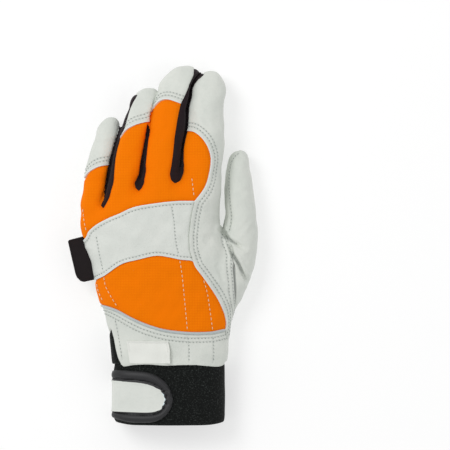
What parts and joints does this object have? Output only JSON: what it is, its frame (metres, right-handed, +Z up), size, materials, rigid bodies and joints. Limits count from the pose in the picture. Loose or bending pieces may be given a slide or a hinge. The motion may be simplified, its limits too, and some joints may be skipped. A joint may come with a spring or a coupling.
{
  "type": "chainsaw glove",
  "caption": "Left-hand work glove of pale leather with orange knitted back panels, black finger side strips and an open black cuff with a wrist strap.",
  "frame": {"origin": "middle of the glove's footprint on the surface that it lies on, palm down", "axes": "+X to the thumb side, +Y from the cuff to the fingertips, +Z up through the back of the hand"},
  "size_m": [0.1368, 0.26, 0.0443],
  "materials": {
    "goat_leather": "pale grey grain leather, soft sheen",
    "black_stretch": "black stretch knit, matt",
    "orange_knit": "orange knitted stretch cloth, matt",
    "white_band": "smooth white sewn band",
    "piping": "silver white piping, slight shine",
    "neoprene": "black loop-faced neoprene, matt",
    "strap_leather": "pale grey smooth leather",
    "binding": "black rolled binding tape",
    "label_black": "black folded tape, bare",
    "label_white": "white woven satin tape, bare"
  },
  "bodies": {
    "root": {"palm_leather": "goat_leather", "finger_leather_little": "goat_leather", "finger_leather_ring": "goat_leather", "finger_leather_middle": "goat_leather", "finger_leather_index": "goat_leather", "thumb_leather": "goat_leather", "fingertip_little": "goat_leather", "fingertip_ring": "goat_leather", "fingertip_middle": "goat_leather", "wrist_leather": "goat_leather", "fourchette_little_ring": "black_stretch", "fourchette_ring_middle": "black_stretch", "fourchette_middle_index": "black_stretch", "wrist_gusset": "black_stretch", "knuckle_panel": "orange_knit", "hand_back_panel": "orange_knit", "knuckle_band": "white_band", "wrist_piping": "piping", "cuff": "neoprene", "strap_leather": "strap_leather", "strap_binding": "binding", "side_label": "label_black", "woven_label": "label_white"}
  },
  "joints": []
}
